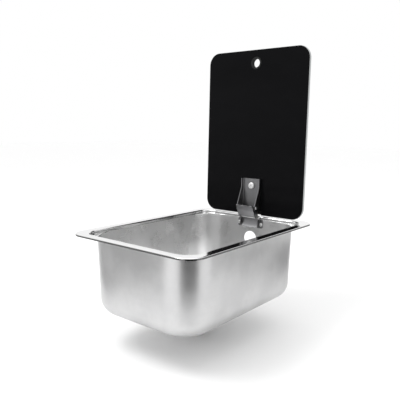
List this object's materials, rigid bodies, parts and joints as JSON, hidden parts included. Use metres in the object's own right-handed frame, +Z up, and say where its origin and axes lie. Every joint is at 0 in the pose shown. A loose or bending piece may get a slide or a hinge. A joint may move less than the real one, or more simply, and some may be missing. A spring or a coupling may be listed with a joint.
{
  "type": "camper sink with folding glass lid",
  "caption": "Built-in rectangular stainless camper sink with rounded basin, overflow hole, strainer waste and a dark glass lid that folds down on a knee hinge.",
  "frame": {"origin": "centre of the worktop cut-out, on the worktop's top surface, where the flange's foam strip seats", "axes": "+Z up out of the worktop, +Y from the front of the basin to the hinge, +X to the right seen from the front"},
  "size_m": [0.28, 0.38, 0.5444],
  "materials": {
    "stainless": "satin drawn stainless with a polished flange",
    "black_glass": "tempered black glass with a ground edge",
    "hinge_steel": "bright folded stainless sheet",
    "bright_steel": "bright stainless fasteners",
    "strainer_steel": "polished pressed stainless",
    "silicone": "clear silicone",
    "black_rubber": "matt black rubber",
    "foam": "closed-cell foam strip",
    "nylon": "natural nylon",
    "waste_plastic": "moulded polypropylene"
  },
  "bodies": {
    "basin": {"basin": "stainless", "rim_seal": "foam", "corner_pad_front_left": "silicone", "corner_pad_front_right": "silicone", "corner_pad_back_left": "silicone", "corner_pad_back_right": "silicone", "wall_pin": "bright_steel", "wall_pin_washers": "nylon", "wall_bracket": "hinge_steel", "wall_screws": "bright_steel", "wall_back_plate": "hinge_steel", "wall_nuts": "bright_steel", "strainer": "strainer_steel", "strainer_gasket": "black_rubber", "waste_gasket": "black_rubber", "waste_body": "waste_plastic", "waste_screw": "bright_steel"},
    "link": {"hinge_link": "hinge_steel", "knee_pin": "bright_steel", "knee_washers": "nylon"},
    "lid": {"lid_glass": "black_glass", "hinge_cover": "black_rubber", "finger_ring": "black_rubber", "lid_bracket": "hinge_steel", "lid_gasket": "black_rubber", "lid_screw": "bright_steel", "lid_sleeve": "nylon", "lid_back_washer": "black_rubber", "lid_cap_nut": "bright_steel"}
  },
  "joints": [
    {"name": "link_fold", "type": "hinge", "parent": "basin", "child": "link", "pos_m": [0, 0.16646, 0.00092], "axis": [1, 0, 0], "range_deg": [0, 117.91]},
    {"name": "lid_knee", "type": "hinge", "parent": "link", "child": "lid", "pos_m": [0, 0.1554, 0.0228], "axis": [1, 0, 0], "range_deg": [-26.91, 0]}
  ],
  "couplings": [
    {"joint": "link_fold", "follows": "lid_knee", "ratio": -4.3813}
  ]
}
